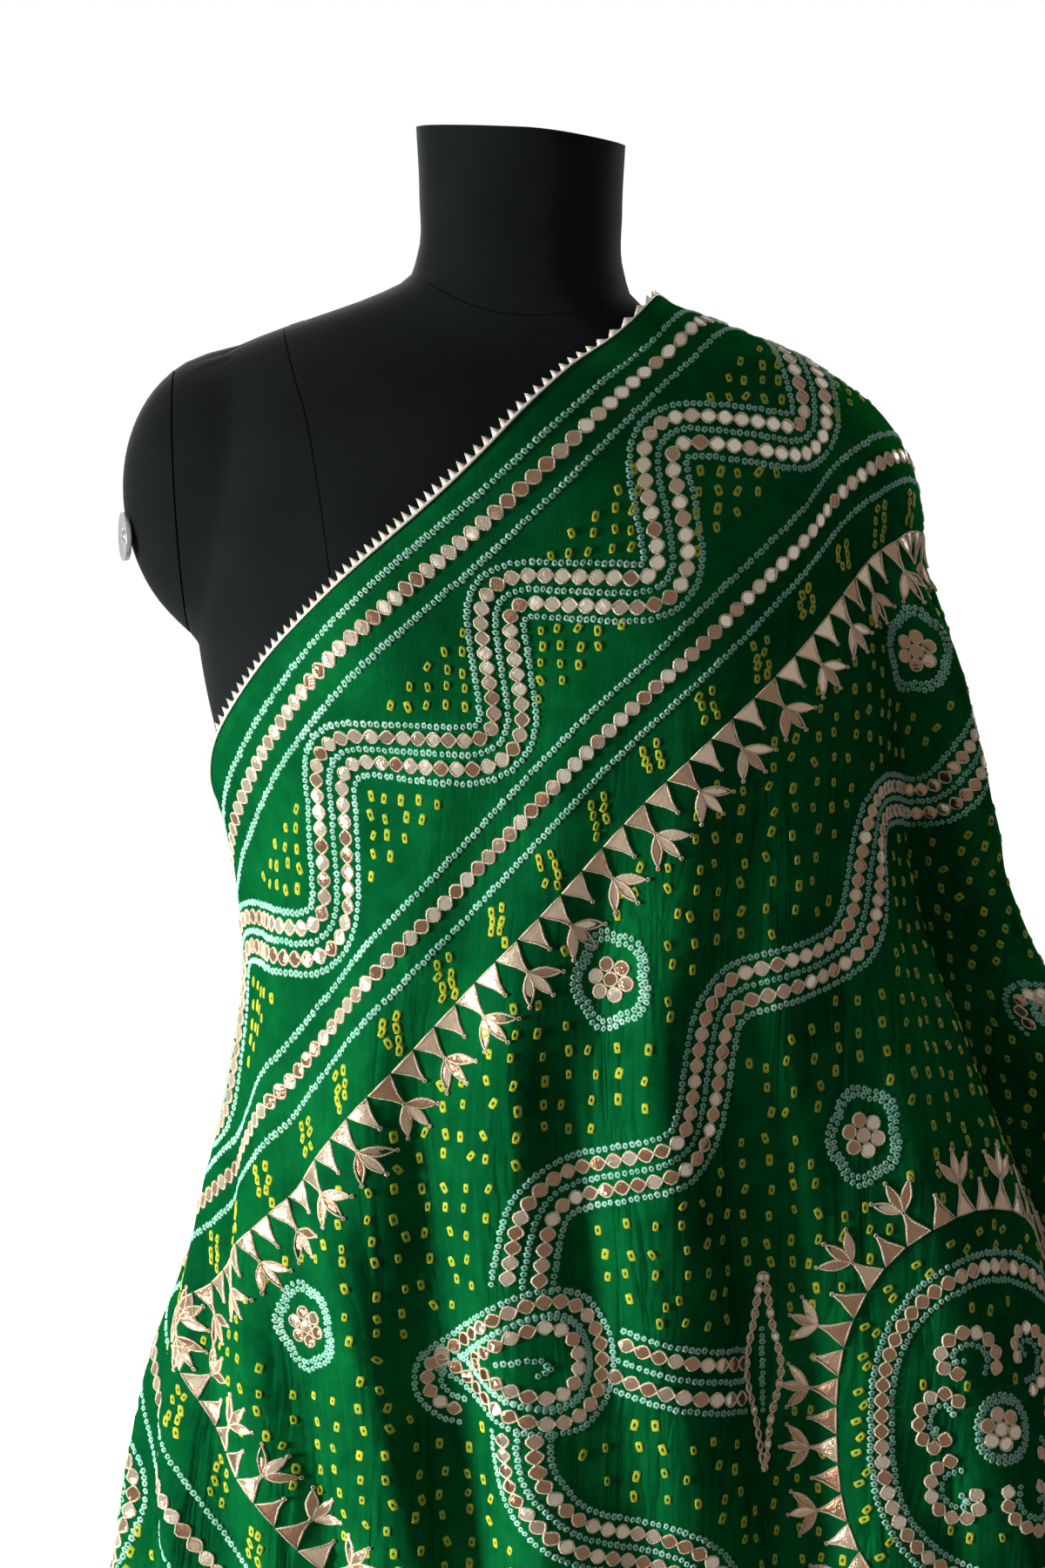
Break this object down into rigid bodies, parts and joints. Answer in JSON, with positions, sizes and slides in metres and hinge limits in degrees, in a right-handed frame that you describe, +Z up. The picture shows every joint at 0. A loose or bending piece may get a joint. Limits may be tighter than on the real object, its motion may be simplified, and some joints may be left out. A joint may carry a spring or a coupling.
{
  "type": "bandhani cloth on a dress form",
  "caption": "Long tie-dyed silk cloth with foil-mirror work and pointed edging, hanging over one shoulder of a plain dress form on a round-based stand.",
  "frame": {"origin": "centre of the round base's underside, on the floor", "axes": "+Z up, -Y the way the form faces, +X the side of the shoulder that carries the cloth"},
  "size_m": [0.854, 0.6626, 1.6012],
  "materials": {
    "silk": "green tie-dyed satin silk, slight sheen",
    "edging": "pointed metallic ribbon, rose gold",
    "form_cover": "black knit cover, matt",
    "plate_steel": "plain",
    "stand_paint": "black powder coat, satin"
  },
  "bodies": {
    "root": {"cloth": "silk", "edging_upper": "edging", "edging_lower": "edging", "edging_front_end": "edging", "edging_back_end": "edging", "form_torso": "form_cover", "form_arm_left": "form_cover", "form_arm_right": "form_cover", "form_arm_plate": "plate_steel", "stand_flange": "stand_paint", "stand_pole": "stand_paint", "stand_base": "stand_paint"}
  },
  "joints": []
}
